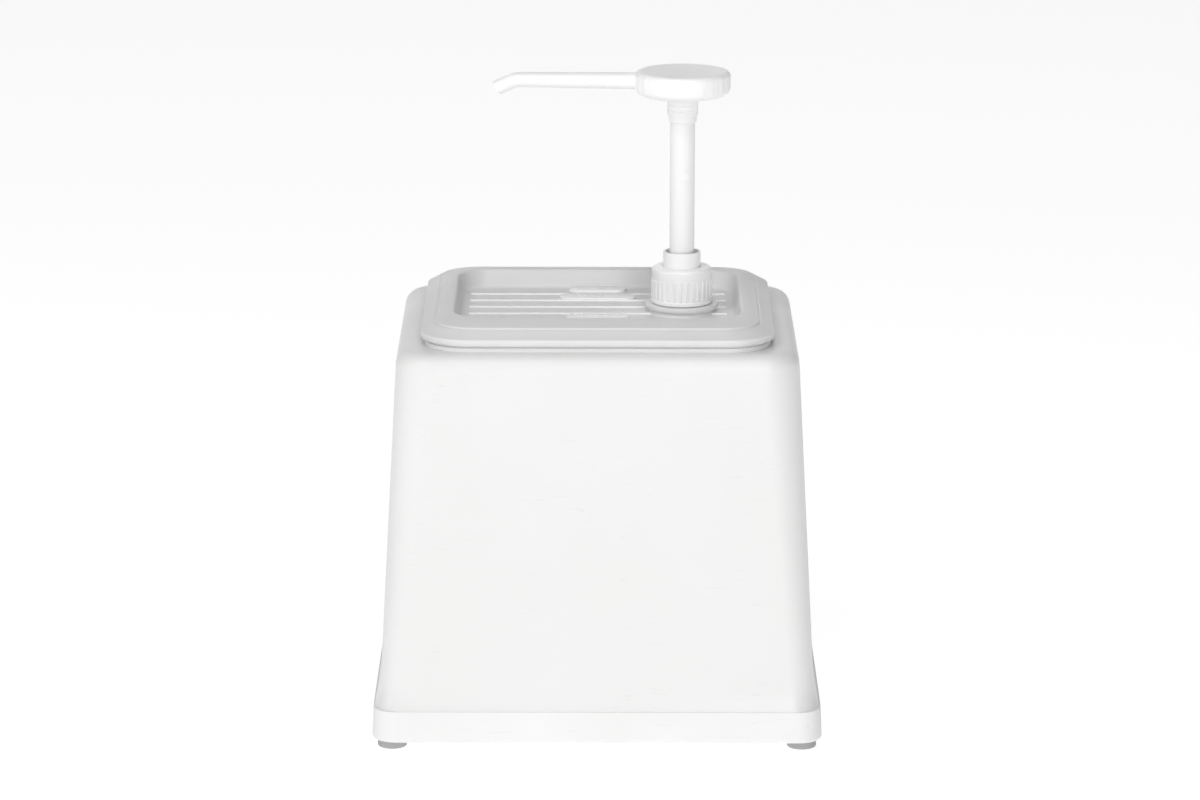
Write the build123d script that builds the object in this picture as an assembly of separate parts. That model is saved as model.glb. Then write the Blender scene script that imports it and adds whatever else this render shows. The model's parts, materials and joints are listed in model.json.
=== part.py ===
from build123d import *
import os
from math import cos, pi, radians, sin, tan

os.makedirs("parts", exist_ok=True)

# Condiment pump dispenser: a tapered shell on a base tray holds a sixth-size food container,
# whose lid carries a hand pump.
# Millimetres. +Z up, -X is the side that the nozzle points to, +Y is the back.
# The origin is on the standing surface, under the middle of the base.

# ---- Food container (sixth-size gastronorm flange) ----
pan_flange_x = 176.0
pan_flange_y = 162.0
pan_flange_thick = 2.5
pan_flange_corner = 22.0
pan_flange_overhang = 9.0
pan_depth = 150.0
pan_wall = 2.0
pan_draft_deg = 3.0
pan_floor_round = 12.0
pan_corner_drop = 4.0
pan_flange_round = 0.8

# ---- Housing shell ----
shell_height = 183.0
shell_wall = 3.0
shell_margin_x = 14.0
shell_margin_y = 9.0
shell_draft_deg = 2.9
shell_corner_top = 20.0
shell_corner_bottom = 12.0
shell_top_round = 8.0
shell_flare = 2.4
shell_flare_height = 12.0
pan_opening_gap = 1.5
opening_lip_height = 9.0
opening_lip_wall = 2.5

# ---- Base tray ----
base_height = 16.5
base_ledge = 0.7
base_draft = 0.7
base_floor = 3.0
base_corner = 12.0
base_bottom_round = 2.2
base_lip_height = 5.0
base_lip_wall = 2.0
base_lip_gap = 0.35
base_lip_root = 2.0

# ---- Feet ----
foot_diameter = 15.0
foot_proud = 3.9
foot_pocket_depth = 2.0
foot_pocket_gap = 0.2
foot_from_edge = 3.0
foot_edge_round = 1.2

# ---- Screws ----
screw_shank = 4.0
screw_head = 7.5
screw_head_height = 2.2
screw_fit_gap = 0.05
screw_slot_width = 1.1
screw_head_gap = 0.3
screw_tip_gap = 0.5
foot_screw_length = 11.0
case_screw_length = 26.0
screw_boss_wall = 3.0
foot_boss_wall = 5.0
foot_seat_depth = 1.8
case_base_boss_wall = 4.0
case_boss_end = 3.0
case_screw_short = 4.0
case_web_clear = 1.0
case_boss_height = 20.0
case_web_thick = 2.5
case_screw_from_side = 18.0
case_screw_y = 58.0

# ---- Lid ----
lid_overlap = 2.0
lid_wall = 2.0
lid_seal_thick = 1.0
lid_seal_width = 5.0
lid_skirt_height = 3.5
lid_shoulder_run = 7.5
lid_shoulder_rise = 3.8
lid_step = 0.8
lid_step_groove = 0.8
lid_plateau_corner_drop = 4.0
lid_crown_rise = 1.8
lid_recess_margin_x = 17.0
lid_recess_margin_y = 24.0
lid_recess_corner = 17.0
lid_recess_depth = 9.5
lid_recess_draft = 2.0
lid_plug_depth = 7.0
lid_plug_gap = 0.8
lid_plug_wall = 1.6
lid_seal_inset = 0.5
rib_pitch = 16.0
rib_count = 8
rib_width = 1.2
rib_height = 0.9
rib_end_gap = 4.0
plaque_height = 1.5
plaque_end_flat = 0.3
plaque_sizes = [(30.0, 10.0, 50.0), (39.5, 13.0, 31.0), (32.5, 12.0, -19.0)]
dimple_diameter = 9.5
dimple_depth = 0.6

# ---- Pump, from the lid upwards ----
pump_from_recess_side = 29.5
seat_pad_height = 1.2
seat_pad_inset = 0.8
gasket_thick = 1.5
gasket_inset = 1.5
spud_flange_overhang = 3.8
spud_flange_thick = 2.2
spud_shank_step = 1.05
spud_shank_length = 13.0
spud_bore_gap = 0.7
spud_neck_height = 10.6
spud_neck_wall = 2.05
spud_thread_depth = 0.9
spud_thread_pitch = 3.2
spud_thread_start = 2.0
spud_thread_foot = 0.9
spud_thread_crest = 0.35
nut_wall = 5.0
nut_height = 5.0
nut_lobes = 6
nut_notch_diameter = 7.0
nut_notch_out = 1.5
cap_wall = 1.4
cap_top_wall = 2.0
cap_rib_count = 30
cap_rib_depth = 0.6
cap_rib_width = 1.5
cap_smooth_band = 6.0
cap_foot_band = 2.2
cap_edge_round = 1.6
cap_foot_round = 0.7
thread_gap = 0.05
body_gap = 0.3
washer_thick = 1.2
washer_gap = 0.2
neck_flange_inset = 0.5
cylinder_flange_thick = 2.0
collar_flange_thick = 3.0
bush_wall = 2.2
bush_spigot = 2.0
bush_spigot_gap = 0.05
collar_wall = 1.0
collar_height = 10.3
collar_cup_depth = 8.5
running_gap = 0.05

# ---- Pump cylinder and valves ----
cylinder_wall = 1.5
inlet_wall = 2.2
inlet_length = 11.0
valve_seat_height = 4.0
valve_pocket_gap = 0.8
cylinder_funnel = 1.0
cage_bore_step = 1.7
cage_height = 3.6
cage_bar_width = 1.6
dip_tube_step = 0.2
dip_tube_wall = 1.2
dip_tube_notch_width = 3.0
dip_tube_notch_height = 2.5
dip_tube_floor_gap = 4.0
ball_diameter = 7.0
ball_lift = 3.0
ball_gap = 0.05
ball_seat_overlap = 1.2

# ---- Plunger ----
press_stroke = 62.0
stem_diameter = 12.9
stem_bore_under_ball = 1.0
press_gap = 6.0
stem_in_head = 4.8
stem_in_piston = 10.0
stem_stop_step = 1.55
ball_head_room = 1.5
piston_wall = 0.8
stem_stop_thick = 2.0
piston_height = 12.0
piston_gap_to_bush = 6.0
seal_height = 2.4
seal_depth = 2.4
seal_bore_gap = 0.03
piston_gap = 0.08
spring_wire = 1.4
spring_turns = 8.5
spring_gap = 1.3
spring_end_gap = 0.1
spring_spare = 4.1

# ---- Pump head ----
sleeve_low_wall = 0.85
sleeve_low_height = 3.7
sleeve_wall = 1.55
sleeve_height = 7.8
sleeve_ledge_wall = 3.05
sleeve_ledge_round = 0.6
sleeve_ledge_height = 2.3
lock_thread_depth = 0.5
lock_thread_root = 0.3
lock_thread_starts = (20, 200)
lock_thread_rises = (2.2, 4.8)
lock_thread_sweep = 110
head_diameter = 49.0
head_height = 12.7
head_round_top = 2.6
head_round_bottom = 4.6
head_dish_depth = 2.2
head_dish_rim = 3.2
nozzle_root_radius = 4.5
nozzle_tip_radius = 3.9
nozzle_reach_to_bend = 86.0
nozzle_tip_length = 12.5
nozzle_tip_angle = 24.0
nozzle_bend_radius = 12.0
nozzle_cut_angle = 50.0
nozzle_below_rim = 0.9
nozzle_bore = 4.6
nozzle_cut_back = 3.5
nozzle_spare = 4.0

# ---- Round sizes, each worked out from the stem or the check ball ----
valve_pocket = ball_diameter + 2 * valve_pocket_gap
ball_seat_bore = ball_diameter - 2 * ball_seat_overlap
inlet_diameter = valve_pocket + 2 * inlet_wall
cage_bore = valve_pocket + 2 * cage_bore_step
dip_tube_diameter = valve_pocket + 2 * dip_tube_step
stem_bore = ball_diameter - stem_bore_under_ball
stem_hole = stem_diameter + 2 * running_gap
stem_stop_diameter = stem_diameter + 2 * stem_stop_step
groove_diameter = stem_hole + 2 * piston_wall
bore_diameter = groove_diameter + 2 * seal_depth
cylinder_diameter = bore_diameter + 2 * cylinder_wall
bush_diameter = stem_hole + 2 * bush_wall
collar_diameter = bush_diameter + 2 * collar_wall
spud_bore = cylinder_diameter + 2 * spud_bore_gap
spud_neck_diameter = spud_bore + 2 * spud_neck_wall
neck_flange_diameter = spud_neck_diameter - 2 * neck_flange_inset
spud_shank_diameter = spud_neck_diameter + 2 * spud_shank_step
spud_hole = spud_shank_diameter + 2 * screw_fit_gap
spud_flange_diameter = spud_shank_diameter + 2 * spud_flange_overhang
seat_pad_diameter = spud_flange_diameter - 2 * seat_pad_inset
nut_diameter = spud_shank_diameter + 2 * nut_wall
cap_bore = spud_neck_diameter + 2 * thread_gap
cap_plain_diameter = cap_bore + 2 * cap_wall
cap_diameter = cap_plain_diameter + 2 * cap_rib_depth
sleeve_low_diameter = stem_diameter + 2 * sleeve_low_wall
sleeve_diameter = stem_diameter + 2 * sleeve_wall
sleeve_ledge_diameter = stem_diameter + 2 * sleeve_ledge_wall
screw_pilot = screw_shank + 2 * screw_fit_gap
screw_sink = screw_head + 2 * screw_head_gap

# ---- Levels worked out from the sizes above ----
base_bottom_z = foot_proud
base_top_z = base_bottom_z + base_height
shell_top_z = base_top_z + shell_height
flange_top_z = shell_top_z + pan_flange_thick
pan_bottom_z = flange_top_z - pan_depth
lid_bottom_z = flange_top_z + lid_seal_thick
skirt_top_z = lid_bottom_z + lid_skirt_height
shoulder_top_z = skirt_top_z + lid_shoulder_rise
plateau_z = shoulder_top_z + lid_step
crown_z = plateau_z + lid_crown_rise
recess_z = crown_z - lid_recess_depth
pad_z = recess_z + seat_pad_height
spud_z = pad_z + gasket_thick
spud_top_z = spud_z + spud_flange_thick
neck_top_z = spud_top_z + spud_neck_height
cylinder_flange_z = neck_top_z + washer_thick
collar_flange_z = cylinder_flange_z + cylinder_flange_thick
cap_wall_z = collar_flange_z + collar_flange_thick + body_gap
cap_top_z = cap_wall_z + cap_top_wall
cap_bottom_z = spud_top_z + body_gap
collar_top_z = collar_flange_z + collar_flange_thick + collar_height
cup_floor_z = collar_top_z - collar_cup_depth
sleeve_z = collar_top_z + press_stroke + press_gap
ledge_z = sleeve_z + sleeve_low_height + sleeve_height
head_z = ledge_z + sleeve_ledge_height
head_top_z = head_z + head_height
bush_bottom_z = cylinder_flange_z - bush_spigot
piston_top_z = bush_bottom_z - piston_gap_to_bush
piston_z = piston_top_z - piston_height
spring_solid = spring_wire * (spring_turns + 1)
cage_top_z = piston_z - press_stroke - spring_solid - spring_spare
cage_z = cage_top_z - cage_height
cylinder_bottom_z = cage_z - cylinder_funnel
cone_z = cylinder_bottom_z - ball_diameter
inlet_z = cone_z - inlet_length
groove_z = piston_z + piston_height / 2
nozzle_z = head_top_z - nozzle_below_rim - nozzle_root_radius
ball_rest = ((ball_diameter / 2) ** 2 - (ball_seat_bore / 2) ** 2) ** 0.5
dip_tube_z = pan_bottom_z + pan_wall + dip_tube_floor_gap

# ---- Plan sizes worked out from the sizes above ----
shell_top_x = pan_flange_x + 2 * shell_margin_x
shell_top_y = pan_flange_y + 2 * shell_margin_y
shell_spread = shell_height * tan(radians(shell_draft_deg))
shell_base_x = shell_top_x + 2 * shell_spread
shell_base_y = shell_top_y + 2 * shell_spread
base_top_x = shell_base_x + 2 * (shell_flare + base_ledge)
base_top_y = shell_base_y + 2 * (shell_flare + base_ledge)
base_x = base_top_x + 2 * base_draft
base_y = base_top_y + 2 * base_draft
pan_body_x = pan_flange_x - 2 * pan_flange_overhang
pan_body_y = pan_flange_y - 2 * pan_flange_overhang
pan_body_corner = pan_flange_corner - pan_corner_drop
lid_x = pan_flange_x + 2 * lid_overlap
lid_y = pan_flange_y + 2 * lid_overlap
lid_corner = pan_flange_corner + lid_overlap
lid_recess_x = lid_x - 2 * lid_recess_margin_x
lid_recess_y = lid_y - 2 * lid_recess_margin_y
pump_x = lid_recess_x / 2 - pump_from_recess_side
foot_inset = foot_diameter / 2 + foot_from_edge
foot_spots = [
    (sx * (base_x / 2 - foot_inset), sy * (base_y / 2 - foot_inset))
    for sy in (-1, 1)
    for sx in (-1, 1)
]
case_screw_spots = [
    (sx * (shell_base_x / 2 - case_screw_from_side), sy * case_screw_y)
    for sy in (-1, 1)
    for sx in (-1, 1)
]


def save(shape, node):
    """Writes one sub-part as its own STEP file."""
    export_step(shape, f"parts/{node}.step")


def slab(x, y, corner, z):
    """A rounded rectangle lying level at height z."""
    return Plane.XY.offset(z) * RectangleRounded(x, y, corner)


def block(x, y, corner, z0, z1):
    """A rounded box with upright walls from z0 to z1."""
    return extrude(slab(x, y, corner, z0), z1 - z0)


def tapered(*sections):
    """A straight-sided body through rounded rectangles, each (x, y, corner, z), from low to high."""
    return loft([slab(*s) for s in sections], ruled=True)


def rod(diameter, z0, z1, x=0.0, y=0.0):
    """An upright cylinder from z0 to z1."""
    return Pos(x, y, z0) * Cylinder(diameter / 2, z1 - z0, align=(Align.CENTER, Align.CENTER, Align.MIN))


def ring(outer, inner, z0, z1, x=0.0, y=0.0):
    """An upright tube from z0 to z1."""
    return rod(outer, z0, z1, x, y) - rod(inner, z0 - 1, z1 + 1, x, y)


def turned(*points):
    """A solid turned about the Z axis from a closed outline of (radius, z) points."""
    outline = make_face(Polyline(*[(r, 0, z) for r, z in points], close=True))
    return revolve(outline, Axis.Z)


def screw(x, y, z, length):
    """A slotted pan-head screw, its head's seat at z and its shank pointing up."""
    body = rod(screw_shank, z, z + length, x, y) + rod(screw_head, z - screw_head_height, z, x, y)
    slot = Pos(x, y, z - screw_head_height) * Box(screw_head + 2, screw_slot_width, screw_head_height)
    return body - slot


# ---- Housing shell ----
def shell_size_at(z, inset):
    """Rounded rectangle of the shell's straight taper at height z, set in from the outside."""
    share = (shell_top_z - z) / shell_height
    corner = shell_corner_top + (shell_corner_bottom - shell_corner_top) * share
    grow = 2 * shell_spread * share
    return (shell_top_x + grow - 2 * inset, shell_top_y + grow - 2 * inset, corner - inset, z)


def flared_size_at(z, inset):
    """The same rounded rectangle, widened where the wall curves outwards to the base ledge."""
    x, y, corner, _ = shell_size_at(z, inset)
    part = min(1.0, (z - base_top_z) / shell_flare_height)
    out = shell_flare * (1 - sin(part * pi / 2))
    return (x + 2 * out, y + 2 * out, corner + out, z)


def flare_sections(inset):
    steps = 4
    return [flared_size_at(base_top_z + shell_flare_height * i / steps, inset) for i in range(steps + 1)]


def housing_shell():
    top = shell_size_at(shell_top_z, 0)
    outside = tapered(shell_size_at(base_top_z + shell_flare_height, 0), top)
    outside = fillet(outside.faces().sort_by(Axis.Z)[-1].edges(), shell_top_round)
    outside += tapered(*flare_sections(0))
    inside = tapered(
        shell_size_at(base_top_z + shell_flare_height, shell_wall),
        shell_size_at(shell_top_z - shell_wall, shell_wall),
    )
    inside = fillet(inside.faces().sort_by(Axis.Z)[-1].edges(), shell_top_round - shell_wall)
    inside += tapered(*flare_sections(shell_wall))
    body = outside - inside
    hole_x = pan_body_x + 2 * pan_opening_gap
    hole_y = pan_body_y + 2 * pan_opening_gap
    hole_corner = pan_body_corner + pan_opening_gap
    lip_z = shell_top_z - shell_wall - opening_lip_height
    lip_grow = 2 * opening_lip_wall
    lip_corner = hole_corner + opening_lip_wall
    body += block(hole_x + lip_grow, hole_y + lip_grow, lip_corner, lip_z, shell_top_z - shell_wall / 2)
    body -= block(hole_x, hole_y, hole_corner, lip_z - 1, shell_top_z + 1)
    boss = screw_shank + 2 * screw_boss_wall
    for x, y in case_screw_spots:
        side = 1 if x > 0 else -1
        wall_x = side * (shell_base_x / 2 - shell_wall / 2)
        body += rod(boss, base_top_z, base_top_z + case_boss_height, x, y)
        web_low_z = base_top_z + base_lip_height + case_web_clear
        web_high_z = base_top_z + case_boss_height
        web = Box(abs(wall_x - x), case_web_thick, web_high_z - web_low_z)
        body += (Pos((x + wall_x) / 2, y, (web_low_z + web_high_z) / 2) * web) & outside
        body -= rod(screw_pilot, base_top_z - 1, base_top_z + case_boss_height - case_boss_end, x, y)
    return body


# ---- Base tray ----
case_screw_seat_z = base_top_z + case_boss_height - case_screw_short - case_screw_length
foot_screw_seat_z = foot_proud + foot_pocket_depth - foot_seat_depth


def base_tray():
    outside = tapered(
        (base_x, base_y, base_corner, base_bottom_z),
        (base_top_x, base_top_y, base_corner, base_top_z),
    )
    outside = fillet(outside.faces().sort_by(Axis.Z)[0].edges(), base_bottom_round)
    lip_top_z = base_top_z + base_lip_height
    lip_low = flared_size_at(base_top_z, shell_wall + base_lip_gap)
    lip_high = flared_size_at(lip_top_z, shell_wall + base_lip_gap)
    outside += tapered((*lip_low[:3], base_top_z - base_lip_root), lip_high)
    floor_z = base_bottom_z + base_floor
    hollow_inset = shell_wall + base_lip_gap + base_lip_wall
    hollow_x, hollow_y, hollow_corner, _ = flared_size_at(lip_top_z, hollow_inset)
    body = outside - block(hollow_x, hollow_y, hollow_corner, floor_z, lip_top_z + 1)
    foot_boss_top = base_bottom_z + foot_pocket_depth + foot_screw_length
    pocket = foot_diameter + 2 * foot_pocket_gap
    for x, y in foot_spots:
        body += rod(screw_shank + 2 * foot_boss_wall, floor_z - 1, foot_boss_top, x, y)
        body -= rod(pocket, base_bottom_z - 1, base_bottom_z + foot_pocket_depth, x, y)
        body -= rod(screw_pilot, base_bottom_z, foot_screw_seat_z + foot_screw_length + screw_tip_gap, x, y)
    for x, y in case_screw_spots:
        body += rod(screw_shank + 2 * case_base_boss_wall, floor_z - 1, base_top_z, x, y)
        body -= rod(screw_pilot, base_bottom_z - 1, base_top_z + 1, x, y)
        body -= rod(screw_sink, base_bottom_z - 1, case_screw_seat_z, x, y)
    return body


def rubber_foot(x, y):
    """A pad that sits in its pocket and is held by one screw from below."""
    top_z = base_bottom_z + foot_pocket_depth
    pad = rod(foot_diameter, 0, top_z, x, y)
    pad = fillet(pad.edges().group_by(Axis.Z)[0], foot_edge_round)
    return pad - rod(screw_pilot, -1, top_z + 1, x, y) - rod(screw_sink, -1, foot_screw_seat_z, x, y)


# ---- Container ----
def pan_size_at(z, inset):
    drop = flange_top_z - z
    shrink = 2 * drop * tan(radians(pan_draft_deg))
    return (pan_body_x - shrink - 2 * inset, pan_body_y - shrink - 2 * inset, pan_body_corner - inset, z)


def food_container():
    body = tapered(pan_size_at(pan_bottom_z, 0), pan_size_at(flange_top_z, 0))
    body = fillet(body.faces().sort_by(Axis.Z)[0].edges(), pan_floor_round)
    flange = block(pan_flange_x, pan_flange_y, pan_flange_corner, shell_top_z, flange_top_z)
    flange = fillet(flange.faces().sort_by(Axis.Z)[0].edges(), pan_flange_round)
    inside = tapered(pan_size_at(pan_bottom_z + pan_wall, pan_wall), pan_size_at(flange_top_z + 1, pan_wall))
    inside = fillet(inside.faces().sort_by(Axis.Z)[0].edges(), pan_floor_round - pan_wall)
    return body + flange - inside


# ---- Lid ----
plateau_x = lid_x - 2 * lid_shoulder_run
plateau_y = lid_y - 2 * lid_shoulder_run
plateau_corner = lid_corner - lid_plateau_corner_drop
floor_x = lid_recess_x - 2 * lid_recess_draft
floor_y = lid_recess_y - 2 * lid_recess_draft
pan_mouth_x = pan_body_x - 2 * pan_wall
pan_mouth_y = pan_body_y - 2 * pan_wall
pan_mouth_corner = pan_body_corner - pan_wall


def lid_outside():
    skirt = block(lid_x, lid_y, lid_corner, lid_bottom_z, skirt_top_z)
    shoulder = tapered(
        (lid_x, lid_y, lid_corner, skirt_top_z),
        (plateau_x + 2 * lid_step_groove, plateau_y + 2 * lid_step_groove, plateau_corner, shoulder_top_z),
    )
    step = block(plateau_x, plateau_y, plateau_corner, shoulder_top_z, plateau_z)
    crown = tapered(
        (plateau_x, plateau_y, plateau_corner, plateau_z),
        (lid_recess_x, lid_recess_y, lid_recess_corner, crown_z),
    )
    return skirt + shoulder + step + crown


def lid_underside():
    inner = 2 * lid_wall
    return tapered(
        (lid_x - inner, lid_y - inner, lid_corner - lid_wall, lid_bottom_z - 1),
        (lid_x - inner, lid_y - inner, lid_corner - lid_wall, skirt_top_z - lid_wall),
        (plateau_x - inner, plateau_y - inner, plateau_corner - lid_wall, plateau_z - lid_wall),
        (lid_recess_x, lid_recess_y, lid_recess_corner, crown_z - lid_wall),
    )


def lid():
    body = lid_outside() - lid_underside()
    grow = 2 * lid_wall
    tub_corner = lid_recess_corner + lid_wall
    body += tapered(
        (floor_x + grow, floor_y + grow, lid_recess_corner, recess_z - lid_wall),
        (lid_recess_x + grow, lid_recess_y + grow, tub_corner, crown_z - lid_wall / 2),
    )
    plug_x = pan_mouth_x - 2 * lid_plug_gap
    plug_y = pan_mouth_y - 2 * lid_plug_gap
    plug_corner = pan_mouth_corner - lid_plug_gap
    plug_low = 2 * lid_plug_depth * tan(radians(pan_draft_deg))
    plug_wall = lid_plug_wall
    plug = tapered(
        (plug_x - plug_low, plug_y - plug_low, plug_corner, flange_top_z - lid_plug_depth),
        (plug_x, plug_y, plug_corner, flange_top_z),
        (plug_x, plug_y, plug_corner, plateau_z - lid_wall / 2),
    )
    plug -= tapered(
        (plug_x - plug_low - 2 * plug_wall, plug_y - plug_low - 2 * plug_wall, plug_corner - plug_wall,
         flange_top_z - lid_plug_depth - 0.01),
        (plug_x - 2 * plug_wall, plug_y - 2 * plug_wall, plug_corner - plug_wall, flange_top_z),
        (plug_x - 2 * plug_wall, plug_y - 2 * plug_wall, plug_corner - plug_wall, plateau_z + 1),
    )
    body += plug
    body -= tapered(
        (floor_x, floor_y, lid_recess_corner - lid_recess_draft, recess_z),
        (lid_recess_x, lid_recess_y, lid_recess_corner, crown_z),
        (lid_recess_x, lid_recess_y, lid_recess_corner, crown_z + 3),
    )
    mark_y = plaque_sizes[1][2] - plaque_sizes[1][1] / 2
    body -= rod(dimple_diameter, recess_z - dimple_depth, recess_z + 1, 0, mark_y)
    for i in range(rib_count):
        y = (i - (rib_count - 1) / 2) * rib_pitch
        if abs(y) < floor_y / 2 - rib_end_gap / 2:
            rib = Pos(0, y, recess_z + (rib_height - 1) / 2)
            body += rib * Box(floor_x - 2 * rib_end_gap, rib_width, rib_height + 1)
    for x_size, y_size, y in plaque_sizes:
        outline = RectangleRounded(x_size, y_size, y_size / 2 - plaque_end_flat)
        face = Plane.XY.offset(recess_z - 1) * Pos(0, y) * outline
        body += extrude(face, plaque_height + 1)
    body += rod(seat_pad_diameter, recess_z - 1, pad_z, pump_x)
    body -= rod(spud_hole, recess_z - lid_wall - 1, pad_z + 1, pump_x)
    return body


def lid_seal():
    """A flat ring between the container's flange and the lid."""
    inner = 2 * lid_seal_width
    seal_x = pan_flange_x - 2 * lid_seal_inset
    seal_y = pan_flange_y - 2 * lid_seal_inset
    corner = pan_flange_corner - lid_seal_inset
    outside = block(seal_x, seal_y, corner, flange_top_z, lid_bottom_z)
    return outside - block(
        seal_x - inner, seal_y - inner, corner - lid_seal_width, flange_top_z - 1, lid_bottom_z + 1
    )


# ---- Spud, nut and cap ----
def spud():
    """The threaded boss that goes through the lid: flange, neck above and shank below."""
    body = rod(spud_flange_diameter, spud_z, spud_top_z)
    body = fillet(body.edges().group_by(Axis.Z)[-1], 0.6)
    body += rod(spud_shank_diameter, spud_top_z - spud_shank_length, spud_z + 0.5)
    root = spud_neck_diameter - 2 * spud_thread_depth
    body += rod(root, spud_top_z - 0.5, neck_top_z)
    turns = int((spud_neck_height - spud_thread_start) / spud_thread_pitch + 0.5)
    for i in range(turns):
        z = spud_top_z + spud_thread_start + i * spud_thread_pitch
        body += turned(
            (root / 2 - 0.2, z - spud_thread_foot),
            (spud_neck_diameter / 2, z - spud_thread_crest),
            (spud_neck_diameter / 2, z + spud_thread_crest),
            (root / 2 - 0.2, z + spud_thread_foot),
        )
    return Pos(pump_x, 0, 0) * (body - rod(spud_bore, spud_top_z - spud_shank_length - 1, neck_top_z + 1))


def spud_gasket():
    return ring(spud_flange_diameter - 2 * gasket_inset, spud_hole, pad_z, spud_z, pump_x)


def spud_nut():
    """A lobed plastic nut that pulls the spud down on the lid from below."""
    top_z = recess_z - lid_wall
    body = rod(nut_diameter, top_z - nut_height, top_z)
    for i in range(nut_lobes):
        angle = 2 * pi * i / nut_lobes
        r = nut_diameter / 2 + nut_notch_out
        body -= rod(nut_notch_diameter, top_z - nut_height - 1, top_z + 1, r * cos(angle), r * sin(angle))
    body -= rod(spud_hole, top_z - nut_height - 1, top_z + 1)
    return Pos(pump_x, 0, 0) * body


def pump_cap():
    """The ribbed screw cap that holds the pump down on the spud."""
    body = rod(cap_plain_diameter, cap_bottom_z, cap_top_z)
    body = fillet(body.edges().group_by(Axis.Z)[-1], cap_edge_round)
    rib_top_z = cap_top_z - cap_smooth_band
    rib_low_z = cap_bottom_z + cap_foot_band
    for i in range(cap_rib_count):
        angle = 360 * i / cap_rib_count
        rib = Box(2 * cap_rib_depth, cap_rib_width, rib_top_z - rib_low_z)
        body += Rot(0, 0, angle) * Pos(cap_plain_diameter / 2, 0, (rib_low_z + rib_top_z) / 2) * rib
    foot = rod(cap_diameter, cap_bottom_z, rib_low_z)
    body += fillet(foot.edges(), cap_foot_round)
    body -= rod(cap_bore, cap_bottom_z - 1, cap_wall_z)
    body -= rod(collar_diameter + 2 * running_gap, cap_wall_z - 1, cap_top_z + 1)
    return Pos(pump_x, 0, 0) * body


def neck_washer():
    hole = cylinder_diameter + 2 * washer_gap
    return ring(neck_flange_diameter, hole, neck_top_z, cylinder_flange_z, pump_x)


# ---- Collar, bush, cylinder and inlet valve ----
def neck_collar():
    """The open-topped collar that stands through the cap and holds the guide bush."""
    flange = rod(neck_flange_diameter, collar_flange_z, collar_flange_z + collar_flange_thick)
    tube = rod(collar_diameter, collar_flange_z, collar_top_z)
    tube = fillet(tube.edges().group_by(Axis.Z)[-1], 0.4)
    return Pos(pump_x, 0, 0) * (flange + tube - rod(bush_diameter, collar_flange_z - 1, collar_top_z + 1))


def guide_bush():
    """The plain bearing that the stem slides and turns in."""
    body = rod(bush_diameter, collar_flange_z, cup_floor_z)
    body += rod(bore_diameter - 2 * bush_spigot_gap, bush_bottom_z, collar_flange_z)
    return Pos(pump_x, 0, 0) * (body - rod(stem_hole, bush_bottom_z - 1, cup_floor_z + 1))


def pump_cylinder():
    """The tube that the piston works in, with its hanging flange and its narrow inlet below."""
    flange_r = neck_flange_diameter / 2
    out_r = cylinder_diameter / 2
    in_r = bore_diameter / 2
    neck_r = inlet_diameter / 2
    seat_r = valve_pocket / 2
    tube_r = dip_tube_diameter / 2
    return Pos(pump_x, 0, 0) * turned(
        (in_r, collar_flange_z),
        (flange_r, collar_flange_z),
        (flange_r, cylinder_flange_z),
        (out_r, cylinder_flange_z),
        (out_r, cylinder_bottom_z),
        (neck_r, cone_z),
        (neck_r, inlet_z),
        (tube_r, inlet_z),
        (tube_r, cone_z - valve_seat_height),
        (seat_r, cone_z - valve_seat_height),
        (seat_r, cylinder_bottom_z - cylinder_funnel),
        (in_r, cylinder_bottom_z + cylinder_funnel),
    )


def inlet_valve_seat():
    """The press-fit seat below the inlet ball."""
    return ring(valve_pocket, ball_seat_bore, cone_z - valve_seat_height, cone_z, pump_x)


def ball_on_seat(seat_z):
    """A check ball resting on the edge of a bored seat."""
    return Pos(pump_x, 0, seat_z + ball_rest + ball_gap) * Sphere(ball_diameter / 2)


def inlet_ball_cage():
    """The ring with crossed bars that keeps the inlet ball down and seats the spring."""
    bars_z = cage_z + cage_height / 2
    body = ring(bore_diameter, cage_bore, cage_z, cage_top_z)
    for angle in (0, 90):
        bar = Pos(0, 0, (bars_z + cage_top_z) / 2) * Box(cage_bore + 2, cage_bar_width, cage_top_z - bars_z)
        body += Rot(0, 0, angle) * bar
    return Pos(pump_x, 0, 0) * body


def dip_tube():
    """The suction tube, notched at its lower end."""
    top_z = cone_z - valve_seat_height
    body = ring(dip_tube_diameter, dip_tube_diameter - 2 * dip_tube_wall, dip_tube_z, top_z, pump_x)
    notch = Box(dip_tube_diameter + 2, dip_tube_notch_width, 2 * dip_tube_notch_height)
    return body - Pos(pump_x, 0, dip_tube_z) * notch


def return_spring():
    """The compression spring between the ball cage and the piston."""
    low_z = cage_top_z + spring_end_gap + spring_wire / 2
    high_z = piston_z - spring_end_gap - spring_wire / 2
    coil_radius = bore_diameter / 2 - spring_gap - spring_wire / 2
    coil = Helix((high_z - low_z) / spring_turns, high_z - low_z, coil_radius)
    wire = Plane(coil @ 0, z_dir=coil % 0) * Circle(spring_wire / 2)
    return Pos(pump_x, 0, low_z) * sweep(wire, path=coil, is_frenet=True)


# ---- Plunger ----
stem_low_z = piston_top_z - stem_in_piston
stem_top_z = head_z + stem_in_head
piston_floor_z = stem_low_z - body_gap


def stem():
    """The hollow discharge tube between piston and head, wider inside where the outlet ball lifts."""
    stop_z = piston_top_z + body_gap
    body = rod(stem_diameter, stem_low_z, stem_top_z)
    body += rod(stem_stop_diameter, stop_z, stop_z + stem_stop_thick)
    pocket_top_z = piston_floor_z + ball_diameter + ball_lift + ball_gap + ball_head_room
    body -= rod(stem_bore, stem_low_z - 1, stem_top_z + 1)
    body -= rod(valve_pocket, stem_low_z - 1, pocket_top_z)
    return Pos(pump_x, 0, 0) * body


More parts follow.
